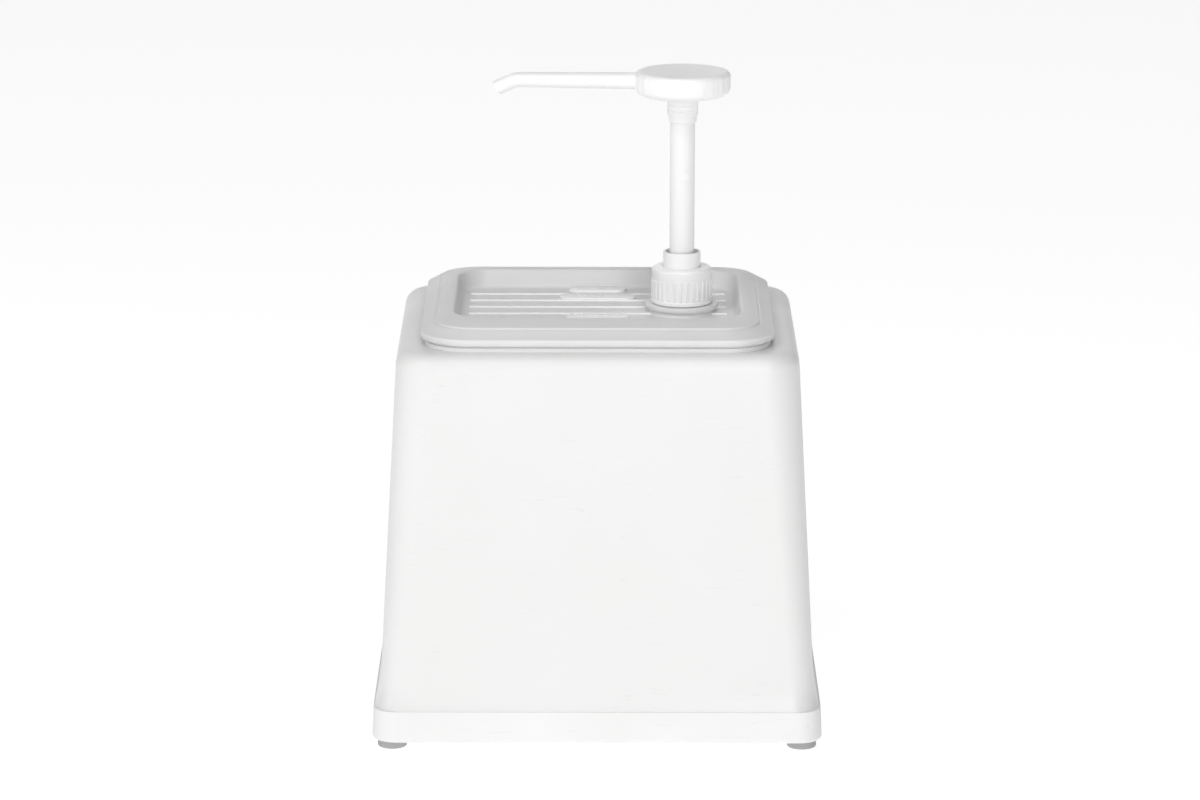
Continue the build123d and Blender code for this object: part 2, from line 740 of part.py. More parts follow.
def piston():
    """The moulded piston: the stem's snap bore, the outlet ball's seat and a groove for the seal."""
    body = rod(bore_diameter - 2 * piston_gap, piston_z, piston_top_z)
    body -= rod(stem_hole, piston_floor_z, piston_top_z + 1)
    body -= rod(ball_seat_bore, piston_z - 1, piston_top_z)
    body -= ring(bore_diameter + 2, groove_diameter, groove_z - seal_height / 2, groove_z + seal_height / 2)
    return Pos(pump_x, 0, 0) * body


def piston_seal():
    """The rounded lip ring in the piston's groove."""
    low_z = groove_z - seal_height / 2
    body = ring(bore_diameter - 2 * seal_bore_gap, groove_diameter, low_z, low_z + seal_height)
    outer_edges = body.edges().filter_by(GeomType.CIRCLE).sort_by(lambda e: e.radius)[-2:]
    return Pos(pump_x, 0, 0) * fillet(outer_edges, seal_height / 3)


# ---- Pump head ----
def head_sleeve():
    """The stepped sleeve under the head, with two short lock threads on its wide part."""
    wide_z = sleeve_z + sleeve_low_height
    body = rod(sleeve_low_diameter, sleeve_z, wide_z)
    body += rod(sleeve_diameter, wide_z, ledge_z)
    ledge = rod(sleeve_ledge_diameter, ledge_z, head_z)
    body += fillet(ledge.edges().group_by(Axis.Z)[0], sleeve_ledge_round)
    root = sleeve_diameter / 2 - lock_thread_root
    crest = sleeve_diameter / 2 + lock_thread_depth
    for start in lock_thread_starts:
        for rise in lock_thread_rises:
            z = wide_z + rise
            corners = [(root, 0, z - 0.9), (crest, 0, z - 0.3), (crest, 0, z + 0.3), (root, 0, z + 0.9)]
            profile = make_face(Polyline(*corners, close=True))
            body += Rot(0, 0, start) * revolve(profile, Axis.Z, lock_thread_sweep)
    return Pos(pump_x, 0, 0) * (body - rod(stem_diameter, sleeve_z - 1, head_z + 1))


def nozzle_shape(root_radius, tip_radius, root_x, extra):
    """The spout along -X: a straight taper whose top stays level, a short bend and the turned-down tip."""
    top_z = nozzle_z + nozzle_root_radius
    end_z = top_z - nozzle_tip_radius
    straight_end = -nozzle_reach_to_bend + nozzle_bend_radius * tan(radians(nozzle_tip_angle / 2))
    root_face = Plane(origin=(root_x, 0, nozzle_z), z_dir=(-1, 0, 0)) * Circle(root_radius)
    end_face = Plane(origin=(straight_end, 0, end_z), z_dir=(-1, 0, 0)) * Circle(tip_radius)
    centre = Vector(straight_end, 0, end_z - nozzle_bend_radius)
    bend = revolve(end_face, Axis(centre, (0, -1, 0)), nozzle_tip_angle)
    a = radians(nozzle_tip_angle)
    turned_end = centre + Vector(-sin(a), 0, cos(a)) * nozzle_bend_radius
    tip_plane = Plane(origin=turned_end, z_dir=(-cos(a), 0, -sin(a)))
    tip = extrude(tip_plane * Circle(tip_radius), nozzle_tip_length + extra)
    return loft([root_face, end_face], ruled=True) + bend + tip, turned_end


def pump_head():
    """The press head: a dished disc with the long spout and the passage from the stem to its tip."""
    body = rod(head_diameter, head_z, head_top_z)
    body = fillet(body.edges().group_by(Axis.Z)[0], head_round_bottom)
    spout, turned_end = nozzle_shape(nozzle_root_radius, nozzle_tip_radius, -head_diameter / 4, nozzle_spare)
    a = radians(nozzle_cut_angle)
    tip_a = radians(nozzle_tip_angle)
    cut_at = turned_end + Vector(-cos(tip_a), 0, -sin(tip_a)) * (nozzle_tip_length - nozzle_cut_back)
    beyond = Box(60, 60, 30, align=(Align.CENTER, Align.CENTER, Align.MIN))
    spout -= Plane(origin=cut_at, z_dir=(-cos(a), 0, -sin(a))) * beyond
    rim = head_diameter / 2 - head_dish_rim
    dish_radius = (rim**2 + head_dish_depth**2) / (2 * head_dish_depth)
    body = fillet(body.edges().group_by(Axis.Z)[-1], head_round_top)
    body += spout
    body -= Pos(0, 0, head_top_z + dish_radius - head_dish_depth) * Sphere(dish_radius)
    body -= rod(stem_diameter, head_z - 1, stem_top_z)
    body -= rod(stem_bore, head_z, nozzle_z)
    passage, _ = nozzle_shape(nozzle_bore / 2, nozzle_bore / 2, 0, nozzle_spare + 2)
    return Pos(pump_x, 0, 0) * (body - passage)


# ---- Write every piece ----
save(housing_shell(), "housing_shell")
save(base_tray(), "base_tray")
for (x, y), spot in zip(foot_spots, ("front_left", "front_right", "rear_left", "rear_right")):
    save(rubber_foot(x, y), f"foot_{spot}")
foot_screws = [screw(x, y, foot_screw_seat_z, foot_screw_length) for x, y in foot_spots]
case_screws = [screw(x, y, case_screw_seat_z, case_screw_length) for x, y in case_screw_spots]
save(Compound(foot_screws), "foot_screws")
save(Compound(case_screws), "case_screws")
save(food_container(), "food_container")
save(lid_seal(), "lid_seal")
save(lid(), "lid")
save(spud(), "spud")
save(spud_gasket(), "spud_gasket")
save(spud_nut(), "spud_nut")
save(pump_cap(), "pump_cap")
save(neck_washer(), "neck_washer")
save(neck_collar(), "neck_collar")
save(guide_bush(), "guide_bush")
save(pump_cylinder(), "pump_cylinder")
save(inlet_valve_seat(), "inlet_valve_seat")
save(ball_on_seat(cone_z), "inlet_ball")
save(inlet_ball_cage(), "inlet_ball_cage")
save(dip_tube(), "dip_tube")
save(return_spring(), "return_spring")
save(piston(), "piston")
save(piston_seal(), "piston_seal")
save(ball_on_seat(piston_floor_z), "outlet_ball")
save(stem(), "stem")
save(head_sleeve(), "head_sleeve")
save(pump_head(), "pump_head")
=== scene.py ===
import bmesh
import bpy
import json
from math import atan2, cos, degrees, pi, radians, sin, tan
from mathutils import Matrix, Vector


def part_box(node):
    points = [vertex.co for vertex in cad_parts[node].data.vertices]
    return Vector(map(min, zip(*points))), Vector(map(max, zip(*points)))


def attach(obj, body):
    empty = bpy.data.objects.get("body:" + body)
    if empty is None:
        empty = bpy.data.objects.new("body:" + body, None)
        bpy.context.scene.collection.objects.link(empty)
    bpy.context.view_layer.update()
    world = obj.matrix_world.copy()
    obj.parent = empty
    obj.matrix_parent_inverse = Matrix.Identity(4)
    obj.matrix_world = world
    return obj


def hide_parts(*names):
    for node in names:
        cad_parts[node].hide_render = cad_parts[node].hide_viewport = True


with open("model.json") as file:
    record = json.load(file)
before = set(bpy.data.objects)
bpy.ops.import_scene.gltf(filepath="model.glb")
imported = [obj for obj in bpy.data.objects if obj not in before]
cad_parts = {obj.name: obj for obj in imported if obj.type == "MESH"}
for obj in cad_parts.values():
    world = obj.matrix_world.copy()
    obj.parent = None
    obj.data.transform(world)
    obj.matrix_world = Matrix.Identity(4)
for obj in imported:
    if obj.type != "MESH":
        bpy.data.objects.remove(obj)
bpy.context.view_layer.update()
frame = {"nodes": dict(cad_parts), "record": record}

# Metres, +Z up, the spout points to -X and the front faces -Y.
MM = 0.001
NEAR = 1e-6
POLE = 2e-7

# ---- Places and sizes read from the frame ----
shell_lo, shell_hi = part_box("housing_shell")
pan_lo, pan_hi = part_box("food_container")
lid_lo, lid_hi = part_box("lid")
seal_lo, seal_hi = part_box("lid_seal")
spud_lo, spud_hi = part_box("spud")
gasket_lo, gasket_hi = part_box("spud_gasket")
cap_lo, cap_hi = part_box("pump_cap")
collar_lo, collar_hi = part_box("neck_collar")
bush_lo, bush_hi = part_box("guide_bush")
stem_lo, stem_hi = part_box("stem")
sleeve_lo, sleeve_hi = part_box("head_sleeve")
head_lo, head_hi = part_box("pump_head")
piston_lo, piston_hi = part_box("piston")
pump_x = (stem_lo.x + stem_hi.x) / 2

# Sizes that more than one piece shares.
stem_r = 6.45 * MM
collar_r = 9.7 * MM
boss_hole_r = 15.05 * MM

CORNER_STEPS = 14
ROUND_STEPS = 8


# ---- Shaping tools ----
def start_piece(name):
    """Opens a new empty mesh in edit mode with nothing else selected."""
    bpy.ops.object.select_all(action="DESELECT")
    bpy.ops.mesh.primitive_plane_add(size=0.01)
    piece = bpy.context.object
    piece.name = name
    piece.data.name = name
    bpy.ops.object.mode_set(mode="EDIT")
    bpy.ops.mesh.delete(type="VERT")
    return piece


def pick(piece, test):
    """Selects the vertices whose place passes the test, with the edges and faces between them."""
    bpy.ops.mesh.select_mode(type="VERT")
    mesh = bmesh.from_edit_mesh(piece.data)
    for part in (*mesh.verts, *mesh.edges, *mesh.faces):
        part.select = False
    for vert in mesh.verts:
        if test(vert.co):
            vert.select = True
    mesh.select_flush(True)
    bmesh.update_edit_mesh(piece.data)


def pick_faces(piece, test):
    """Selects the faces whose middle passes the test."""
    bpy.ops.mesh.select_mode(type="FACE")
    mesh = bmesh.from_edit_mesh(piece.data)
    mesh.normal_update()
    for part in (*mesh.verts, *mesh.edges, *mesh.faces):
        part.select = False
    for face in mesh.faces:
        if test(face.calc_center_median()):
            face.select_set(True)
    bmesh.update_edit_mesh(piece.data)


def key_of(point):
    """A place rounded to a thousandth of a millimetre, to tell vertices apart by."""
    return tuple(round(c, 6) for c in point)


def selected_places(piece):
    """The rounded places of the selected vertices."""
    mesh = bmesh.from_edit_mesh(piece.data)
    return {key_of(v.co) for v in mesh.verts if v.select}


def only(piece):
    """Leaves this piece alone selected and active."""
    bpy.ops.object.select_all(action="DESELECT")
    piece.select_set(True)
    bpy.context.view_layer.objects.active = piece


def smooth(piece, smooth_deg=32):
    """Smooth shading, with edges sharper than this angle kept crisp."""
    only(piece)
    bpy.ops.object.shade_smooth_by_angle(angle=radians(smooth_deg))
    return piece


def close_piece(piece, smooth_deg=32):
    """Merges doubles, turns the faces outwards and smooths all but the sharp edges."""
    bpy.ops.mesh.select_mode(type="VERT")
    bpy.ops.mesh.select_all(action="SELECT")
    bpy.ops.mesh.remove_doubles(threshold=NEAR)
    bpy.ops.mesh.normals_make_consistent(inside=False)
    bpy.ops.object.mode_set(mode="OBJECT")
    return smooth(piece, smooth_deg)


def apply_modifier(piece, kind, **settings):
    """Adds a modifier with these settings and applies it."""
    only(piece)
    modifier = piece.modifiers.new(kind.lower(), kind)
    for key, value in settings.items():
        setattr(modifier, key, value)
    bpy.ops.object.modifier_apply(modifier=modifier.name)


def combine(piece, other, operation):
    """Boolean of piece with other, which is then removed."""
    apply_modifier(piece, "BOOLEAN", operation=operation, object=other, solver="EXACT")
    bpy.data.objects.remove(other)
    return piece


def join_pieces(first, *others):
    """Makes one mesh object of them all."""
    only(first)
    for piece in others:
        piece.select_set(True)
    bpy.ops.object.join()
    return first


def lofted(name, sections, close_first=False, close_last=False, thick=0.0, even=True, smooth_deg=32):
    """A skin through rounded rectangles, each (x, y, corner, z), with a wall grown inwards."""
    piece = start_piece(name)
    rings = []
    for x, y, corner, z in sections:
        bpy.ops.mesh.select_all(action="DESELECT")
        bpy.ops.mesh.primitive_plane_add(size=1, location=(0, 0, z))
        bpy.ops.transform.resize(value=(x, y, 1), center_override=(0, 0, z))
        bpy.ops.mesh.bevel(offset=corner, segments=CORNER_STEPS, affect="VERTICES")
        rings.append(selected_places(piece))
        bpy.ops.mesh.delete(type="ONLY_FACE")
    for one, two in zip(rings, rings[1:]):
        pick(piece, lambda co: key_of(co) in one or key_of(co) in two)
        bpy.ops.mesh.bridge_edge_loops()
    for ring, closed in ((rings[0], close_first), (rings[-1], close_last)):
        if closed:
            pick(piece, lambda co: key_of(co) in ring)
            bpy.ops.mesh.edge_face_add()
    close_piece(piece, smooth_deg)
    if thick:
        apply_modifier(piece, "SOLIDIFY", thickness=thick, offset=-1, use_even_offset=even)
        smooth(piece, smooth_deg)
    return piece


def turned(name, outline, x=pump_x, y=0.0, steps=96, closed=True, smooth_deg=32):
    """A round piece drawn up ring by ring through (radius, height) points about an upright axis."""
    piece = start_piece(name)
    rings = [(max(r, POLE), z) for r, z in outline]
    radius, z = rings[0]
    bpy.ops.mesh.primitive_circle_add(vertices=steps, radius=radius, location=(x, y, z))
    if not closed:
        bpy.ops.mesh.edge_face_add()
        bpy.ops.mesh.extrude_region_move(TRANSFORM_OT_translate={"value": (0, 0, 0)})
    for r, high in rings[1:] + rings[:1] if closed else rings[1:]:
        extrude = bpy.ops.mesh.extrude_edges_move if closed else bpy.ops.mesh.extrude_region_move
        extrude(TRANSFORM_OT_translate={"value": (0, 0, high - z)})
        bpy.ops.transform.resize(value=(r / radius, r / radius, 1), center_override=(x, y, high))
        radius, z = r, high
    return close_piece(piece, smooth_deg)


def arc(middle_r, middle_z, radius, start_deg, end_deg, steps=6):
    """Points of an outline's round stretch."""
    spread = [start_deg + (end_deg - start_deg) * i / steps for i in range(steps + 1)]
    return [(middle_r + radius * cos(radians(a)), middle_z + radius * sin(radians(a))) for a in spread]


def round_the_pump(place):
    """The angle in degrees about the pump's upright axis, and the distance from it."""
    x = place.x - pump_x
    return degrees(atan2(place.y, x)), (x ** 2 + place.y ** 2) ** 0.5


def raise_patches(piece, test, height, edge):
    """Lifts groups of neighbouring faces off the surface, each with a narrow sloped edge."""
    only(piece)
    bpy.ops.object.mode_set(mode="EDIT")
    pick_faces(piece, test)
    bpy.ops.mesh.inset(thickness=edge, depth=height, use_even_offset=True)
    bpy.ops.object.mode_set(mode="OBJECT")
    return smooth(piece)


def rounded_block(name, size, place, edge, steps=3):
    """A box with rounded edges."""
    piece = start_piece(name)
    bpy.ops.mesh.primitive_cube_add(size=1, location=place)
    bpy.ops.transform.resize(value=size, center_override=place)
    bpy.ops.mesh.bevel(offset=edge, segments=steps, affect="EDGES")
    return close_piece(piece)


# ---- Housing ----
shell_wall = 3.0 * MM
shell_round = 8.0 * MM
corner_top = 20.0 * MM
corner_bottom = 12.0 * MM
flare = 2.4 * MM
flare_height = 12.0 * MM
shell_draft = tan(radians(2.9))
opening_gap = 1.5 * MM
opening_lip = 9.0 * MM
pan_overhang = 9.0 * MM
pan_x = pan_hi.x - pan_lo.x
pan_y = pan_hi.y - pan_lo.y
shell_high = shell_hi.z - shell_lo.z
shell_base_x = shell_hi.x - shell_lo.x - 2 * flare
shell_base_y = shell_hi.y - shell_lo.y - 2 * flare


def shell_ring(z):
    """The housing's outline at height z, with the flare at its foot."""
    up = z - shell_lo.z
    share = up / shell_high
    out = flare * (1 - sin(min(1.0, up / flare_height) * pi / 2)) - up * shell_draft
    corner = corner_bottom + (corner_top - corner_bottom) * share + max(0.0, flare * (1 - up / flare_height))
    return (shell_base_x + 2 * out, shell_base_y + 2 * out, corner, z)


def make_housing():
    """The tapered outer shell, rounded over at the top into the opening for the container."""
    foot_levels = [shell_lo.z + flare_height * i / 8 for i in range(9)]
    sections = [shell_ring(z) for z in foot_levels]
    side_top_z = shell_hi.z - shell_round
    sections += [shell_ring(foot_levels[-1] + (side_top_z - foot_levels[-1]) * i / 4) for i in range(1, 5)]
    x, y, corner, _ = shell_ring(side_top_z)
    for i in range(1, ROUND_STEPS + 1):
        turn = pi / 2 * i / ROUND_STEPS
        inset = shell_round * (1 - cos(turn))
        sections.append((x - 2 * inset, y - 2 * inset, corner - inset, side_top_z + shell_round * sin(turn)))
    hole_x = pan_x - 2 * pan_overhang + 2 * opening_gap
    hole_y = pan_y - 2 * pan_overhang + 2 * opening_gap
    hole_corner = 19.5 * MM
    edge = 1.2 * MM
    for i in range(4):
        turn = pi / 2 * i / 3
        inset = edge * (1 - sin(turn))
        z = shell_hi.z - edge * (1 - cos(turn))
        sections.append((hole_x + 2 * inset, hole_y + 2 * inset, hole_corner + inset, z))
    sections.append((hole_x, hole_y, hole_corner, shell_hi.z - shell_wall - opening_lip))
    return lofted("housing", sections, thick=shell_wall * 0.8, even=False)


# ---- Container ----
def make_container():
    """The deep pan with its flat flange, rounded mouth and rounded floor."""
    wall = 2.0 * MM
    draft = tan(radians(3.0))
    floor_round = 10.0 * MM
    x, y = pan_x, pan_y
    mouth_x = x - 2 * pan_overhang - 2 * wall
    mouth_y = y - 2 * pan_overhang - 2 * wall
    mouth_corner = 16.0 * MM
    flange_corner = 22.0 * MM
    edge = 0.9 * MM
    low_z = shell_hi.z + 0.05 * MM
    sections = [(x, y, flange_corner, low_z)]
    for i in range(5):
        turn = pi / 2 * i / 4
        inset = edge * (1 - cos(turn))
        z = pan_hi.z - edge * (1 - sin(turn))
        sections.append((x - 2 * inset, y - 2 * inset, flange_corner - inset, z))
    mouth_round = 2.0 * MM
    for i in range(6):
        turn = pi / 2 * i / 5
        out = mouth_round * (1 - sin(turn))
        z = pan_hi.z - mouth_round * (1 - cos(turn))
        sections.append((mouth_x + 2 * out, mouth_y + 2 * out, mouth_corner + out, z))
    floor_z = pan_lo.z + wall
    side_inset = (pan_hi.z - floor_z - floor_round) * draft
    for i in range(ROUND_STEPS + 1):
        turn = pi / 2 * i / ROUND_STEPS
        z = floor_z + floor_round * (1 - sin(turn))
        inset = side_inset + floor_round * (1 - cos(turn)) + floor_round * sin(turn) * draft
        sections.append((mouth_x - 2 * inset, mouth_y - 2 * inset, mouth_corner - inset * 0.3, z))
    return lofted("container", sections, close_last=True, thick=wall * 0.98)


# ---- Lid ----
lid_corner = 24.0 * MM
lid_x = lid_hi.x - lid_lo.x
lid_y = lid_hi.y - lid_lo.y
lid_wall = 1.8 * MM
shoulder_run = 7.5 * MM
recess_x = lid_x - 34.0 * MM
recess_y = lid_y - 48.0 * MM
recess_corner = 17.0 * MM
recess_z = gasket_lo.z - 1.2 * MM
skirt_z = seal_hi.z
crown_z = lid_hi.z
skirt_high = 3.5 * MM
shoulder_high = 3.8 * MM
rib_pitch = 16.0 * MM
# Length, width and place along Y of each plaque, in millimetres.
plaques = ((30.0, 10.0, 50.0), (39.5, 13.0, 31.0), (32.5, 12.0, -19.0))


def lid_sections():
    """Inset, drop in corner size and height of each ring, from the skirt's lower edge to the plateau."""
    edge = 0.5 * MM
    plateau_round = 0.8 * MM
    yield 0.3 * MM, 0.0, skirt_z
    yield 0.0, 0.0, skirt_z + edge
    shoulder_z = skirt_z + skirt_high
    round_r = 1.6 * MM
    for i in range(5):
        turn = radians(60) * i / 4
        yield round_r * (1 - cos(turn)), 0.2 * i, shoulder_z - round_r * 0.4 + round_r * sin(turn) * 0.5
    step_z = shoulder_z + shoulder_high
    for share, rise in ((0.45, 0.44), (0.6, 0.62), (0.75, 0.82), (0.86, 0.95)):
        yield shoulder_run * share, 4.0 * share, shoulder_z + (step_z - shoulder_z) * rise
    yield shoulder_run - 0.5 * MM, 3.8, step_z - 0.35 * MM
    yield shoulder_run - 0.1 * MM, 4.0, step_z - 0.3 * MM
    plateau_z = step_z + plateau_round
    for i in range(5):
        turn = pi / 2 * i / 4
        z = plateau_z - plateau_round * (1 - sin(turn))
        yield shoulder_run + plateau_round * (1 - cos(turn)), 4.0 + 0.2 * i, z


def make_lid():
    """The cover with its recess, ribs, blank plaques, pump seat and the rim underneath."""
    sections = [
        (lid_x - 2 * inset, lid_y - 2 * inset, lid_corner - drop * MM, z)
        for inset, drop, z in lid_sections()
    ]
    start_x, start_y, start_corner, plateau_z = sections[-1]
    rim = 1.6 * MM
    for i in range(1, 7):
        part = i / 6
        sections.append((
            start_x + (recess_x + 2 * rim - start_x) * part,
            start_y + (recess_y + 2 * rim - start_y) * part,
            start_corner + (recess_corner + rim - start_corner) * part,
            plateau_z + (crown_z - plateau_z) * sin(part * pi / 2),
        ))
    for i in range(1, 6):
        turn = radians(78) * i / 5
        out = rim * (1 - sin(turn))
        z = crown_z - rim * (1 - cos(turn))
        sections.append((recess_x + 2 * out, recess_y + 2 * out, recess_corner + out, z))
    foot = 2.4 * MM
    for i in range(6):
        turn = radians(78) * (1 - i / 5)
        inset = 1.7 * MM + foot * (1 - sin(turn))
        z = recess_z + foot * (1 - cos(turn))
        sections.append((recess_x - 2 * inset, recess_y - 2 * inset, recess_corner - inset, z))
    cover = lofted("lid_cover", sections, close_last=True, thick=lid_wall, smooth_deg=40)
    hole_outline = [(boss_hole_r, recess_z - 4 * MM), (boss_hole_r, recess_z + 4 * MM)]
    hole = turned("hole", hole_outline, closed=False)
    combine(cover, hole, "DIFFERENCE")
    extras = []
    floor_x = recess_x - 4 * MM
    for i in range(6):
        y = (i - 2.5) * rib_pitch
        size = (floor_x - 8 * MM, 1.4 * MM, 1.7 * MM)
        extras.append(rounded_block("rib", size, (0, y, recess_z), 0.45 * MM))
    for long, wide, y in plaques:
        extras.append(make_plaque(long * MM, wide * MM, y * MM))
    pad_r = (spud_hi.x - spud_lo.x) / 2 - 0.8 * MM
    pad_z = gasket_lo.z
    outline = [(boss_hole_r, pad_z), (pad_r - 0.4 * MM, pad_z), (pad_r, pad_z - 0.4 * MM)]
    outline += [(pad_r + 0.3 * MM, recess_z - 0.4 * MM), (boss_hole_r, recess_z - 0.4 * MM)]
    extras.append(turned("pad", outline))
    # Two stand-in materials tell the ribs and plaques from the rest until the finishes go on. The second,
    # clear, marks the ribs and plaques that later take a lighter copy of the lid plastic, a painted
    # highlight.
    plain, clear = (bpy.data.materials.new(name) for name in ("plain part", "painted highlight part"))
    for material in (plain, clear):
        cover.data.materials.append(material)
    for extra in extras[:-1]:
        extra.data.materials.append(clear)
    extras[-1].data.materials.append(plain)
    join_pieces(cover, *extras)
    return smooth(make_plug(cover), 40)


def make_plaque(long, wide, y):
    """A plain raised pad with nothing on it."""
    edge = 0.5 * MM
    top_z = recess_z + 1.5 * MM
    sections = [(long + 0.4 * MM, wide + 0.4 * MM, wide / 2 - 0.1 * MM, recess_z - 0.4 * MM)]
    for i in range(4):
        turn = pi / 2 * i / 3
        inset = edge * (1 - cos(turn))
        z = top_z - edge * (1 - sin(turn))
        sections.append((long - 2 * inset, wide - 2 * inset, wide / 2 - 0.3 * MM - inset, z))
    pad = lofted("plaque", sections, close_first=True, close_last=True)
    only(pad)
    bpy.ops.object.mode_set(mode="EDIT")
    bpy.ops.mesh.select_all(action="SELECT")
    bpy.ops.transform.translate(value=(0, y, 0))
    bpy.ops.object.mode_set(mode="OBJECT")
    return pad


def make_plug(cover):
    """The rim under the lid that drops into the container's mouth."""
    mouth_x = pan_x - 22 * MM
    mouth_y = pan_y - 22 * MM
    gap = 0.8 * MM
    wall = 1.6 * MM
    low_z = lid_lo.z
    sections = [
        (mouth_x - 2 * gap, mouth_y - 2 * gap, 15.2 * MM, crown_z - 3.4 * MM),
        (mouth_x - 2 * gap, mouth_y - 2 * gap, 15.2 * MM, pan_hi.z),
        (mouth_x - 2 * gap - 0.8 * MM, mouth_y - 2 * gap - 0.8 * MM, 14.8 * MM, low_z + 0.4 * MM),
        (mouth_x - 2 * gap - 1.4 * MM, mouth_y - 2 * gap - 1.4 * MM, 14.5 * MM, low_z),
    ]
    rim = lofted("lid_rim", sections, thick=wall)
    return join_pieces(cover, rim)


# ---- Spud, cap, collar, stem and sleeve ----
def make_spud():
    """The threaded boss that stands in the lid's hole and takes the screw cap."""
    bore = 11.9 * MM
    shank = 15.0 * MM
    root = 13.05 * MM
    crest = 13.95 * MM
    r = (spud_hi.x - spud_lo.x) / 2
    flange_z = gasket_hi.z + 2.2 * MM
    outline = [(bore, spud_lo.z), (shank - 0.4 * MM, spud_lo.z), (shank, spud_lo.z + 0.4 * MM)]
    outline += [(shank, gasket_hi.z), (r - 0.2 * MM, gasket_hi.z), (r, gasket_hi.z + 0.3 * MM)]
    outline += arc(r - 0.7 * MM, flange_z - 0.7 * MM, 0.7 * MM, 0, 90)
    outline += [(root + 0.3 * MM, flange_z), (root, flange_z + 0.3 * MM)]
    for i in range(3):
        z = flange_z + (2.0 + 3.2 * i) * MM
        outline += [(root, z - 0.9 * MM), (crest, z - 0.35 * MM)]
        outline += [(crest, z + 0.35 * MM), (root, z + 0.9 * MM)]
    outline += [(root, spud_hi.z - 0.3 * MM), (root - 0.3 * MM, spud_hi.z), (bore, spud_hi.z)]
    return turned("boss", outline)


def make_cap():
    """The screw cap with raised grips round its side."""
    steps = 180
    top = cap_hi.z
    low = cap_lo.z
    crest = (cap_hi.x - cap_lo.x) / 2
    plain = crest - 0.6 * MM
    bore = plain - 1.4 * MM
    hole = collar_r + 0.05 * MM
    rib_low = low + 2.6 * MM
    rib_top = top - 6.0 * MM
    wall_z = top - 2.0 * MM
    outline = [(bore, low), (crest - 0.7 * MM, low)]
    outline += arc(crest - 0.7 * MM, low + 0.7 * MM, 0.7 * MM, -75, 0, 4)
    outline += arc(crest - 0.6 * MM, low + 1.6 * MM, 0.6 * MM, 0, 80, 4)
    outline += [(plain, rib_low), (plain, rib_top)]
    outline += arc(plain - 1.8 * MM, top - 1.8 * MM, 1.8 * MM, 0, 90, 8)
    outline += [(hole + 0.4 * MM, top), (hole, top - 0.4 * MM), (hole, wall_z), (bore, wall_z)]
    cap = turned("screw_cap", outline, steps=steps)

    def in_rib(middle):
        angle, away = round_the_pump(middle)
        return rib_low < middle.z < rib_top and away > plain - 0.2 * MM and angle % 12 < 7

    return raise_patches(cap, in_rib, 0.4 * MM, 0.35 * MM)


def make_collar():
    """The thin open collar that the stem slides through."""
    flange = (bush_hi.x - bush_lo.x) / 2 + 3.6 * MM
    flange_z = collar_lo.z + 3.0 * MM
    bore = collar_r - 1.0 * MM
    outline = [(bore, collar_lo.z), (flange, collar_lo.z), (flange, flange_z), (collar_r, flange_z)]
    outline += [(collar_r, collar_hi.z - 0.35 * MM)]
    outline += arc(collar_r - 0.35 * MM, collar_hi.z - 0.35 * MM, 0.35 * MM, 20, 90, 4)
    outline += arc(bore + 0.3 * MM, collar_hi.z - 0.3 * MM, 0.3 * MM, 90, 180, 4)
    return turned("open_collar", outline)


def make_stem():
    """The long tube between head and piston, with its stop ring and the outlet ball's pocket."""
    r = stem_r
    bore = 3.0 * MM
    pocket = 4.3 * MM
    stop = (stem_hi.x - stem_lo.x) / 2
    stop_z = piston_hi.z + 0.3 * MM
    pocket_z = stem_lo.z + 11.25 * MM
    outline = [(pocket, stem_lo.z), (r - 0.3 * MM, stem_lo.z), (r, stem_lo.z + 0.3 * MM), (r, stop_z)]
    outline += [(stop - 0.2 * MM, stop_z), (stop, stop_z + 0.2 * MM), (stop, stop_z + 1.8 * MM)]
    outline += [(stop - 0.2 * MM, stop_z + 2.0 * MM), (r + 0.3 * MM, stop_z + 2.0 * MM)]
    outline += [(r, stop_z + 2.3 * MM), (r, stem_hi.z)]
    outline += [(bore, stem_hi.z), (bore, pocket_z), (pocket, pocket_z)]
    return turned("stem_tube", outline)


def make_sleeve():
    """The stepped sleeve under the head, with two short turns of locking thread."""
    low_r = 7.3 * MM
    wide_r = 8.0 * MM
    ledge_r = (sleeve_hi.x - sleeve_lo.x) / 2
    bore = stem_r
    low = sleeve_lo.z
    wide_z = low + 3.7 * MM
    ledge_z = head_lo.z - 2.3 * MM
    outline = [(bore, low), (low_r - 0.3 * MM, low), (low_r, low + 0.3 * MM), (low_r, wide_z)]
    outline += [(wide_r - 0.3 * MM, wide_z), (wide_r, wide_z + 0.3 * MM)]
    threads = []
    for rise in (2.2, 4.8):
        z = wide_z + rise * MM
        threads.append(z)
        outline += [(wide_r, z - 0.6 * MM), (wide_r, z + 0.6 * MM)]
    outline += [(wide_r, ledge_z), (ledge_r - 0.5 * MM, ledge_z)]
    outline += arc(ledge_r - 0.5 * MM, ledge_z + 0.5 * MM, 0.5 * MM, -60, 0, 4)
    outline += [(ledge_r, head_lo.z), (bore, head_lo.z)]
    sleeve = turned("lock_sleeve", outline)

    def in_thread(middle):
        angle, away = round_the_pump(middle)
        level = any(abs(middle.z - z) < 0.5 * MM for z in threads)
        return away > wide_r - 0.1 * MM and 20 < angle % 180 < 130 and level

    return raise_patches(sleeve, in_thread, 0.45 * MM, 0.25 * MM)


